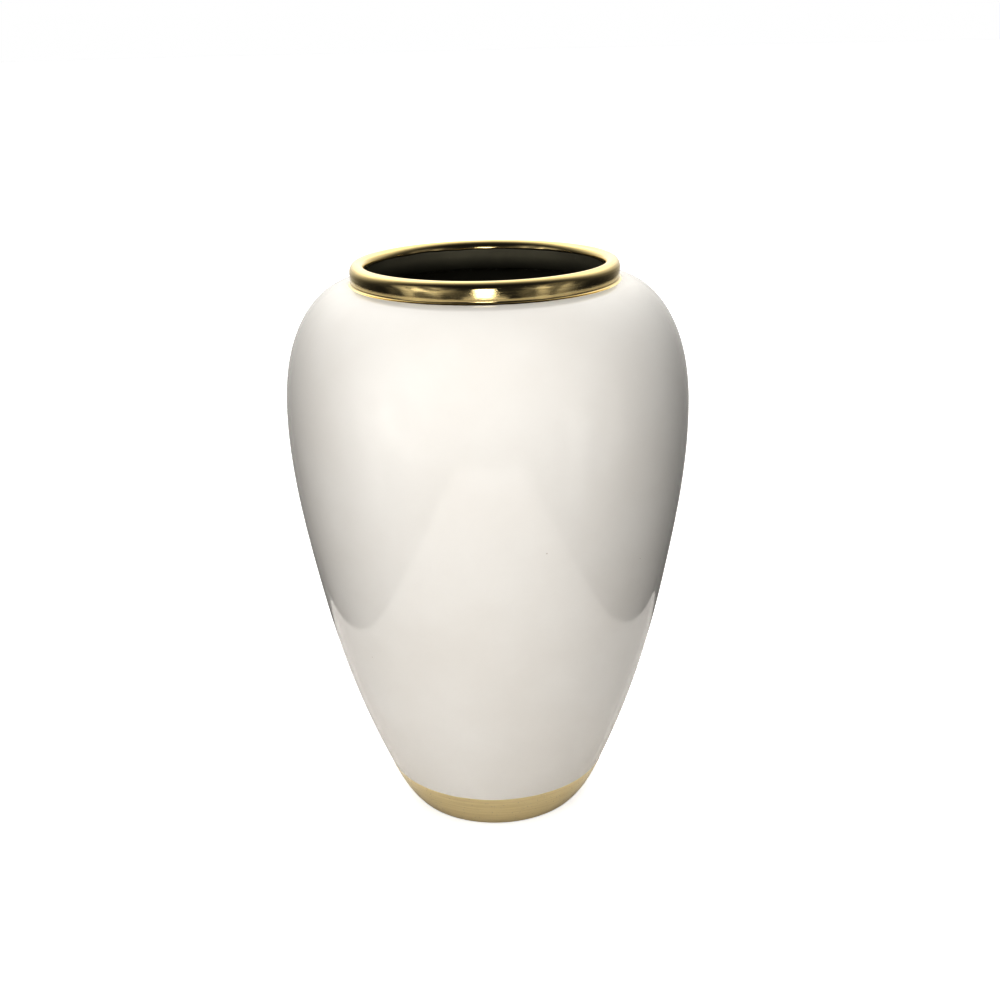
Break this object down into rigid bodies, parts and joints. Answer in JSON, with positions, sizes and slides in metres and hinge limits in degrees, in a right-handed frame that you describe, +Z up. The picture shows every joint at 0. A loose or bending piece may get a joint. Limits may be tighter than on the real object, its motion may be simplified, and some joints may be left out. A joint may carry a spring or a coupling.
{
  "type": "porcelain vase",
  "caption": "Ovoid white porcelain vase with a wide mouth, a short gilded rolled collar, a gold band round the narrow foot and a dark glazed inside.",
  "frame": {"origin": "centre of the plane that the foot ring rests on", "axes": "+Z up along the axis of revolution, towards the mouth; +X and +Y are any two level directions"},
  "size_m": [0.2, 0.2, 0.288],
  "materials": {
    "bare_porcelain": "matt, unglazed",
    "white_glaze": "high gloss",
    "dark_glaze": "gloss",
    "gold_lustre": "mirror gold lustre"
  },
  "bodies": {
    "root": {"porcelain_body": "bare_porcelain", "outer_glaze": "white_glaze", "inner_glaze": "dark_glaze", "rim_gilding": "gold_lustre", "foot_gilding": "gold_lustre", "base_glaze": "white_glaze"}
  },
  "joints": []
}
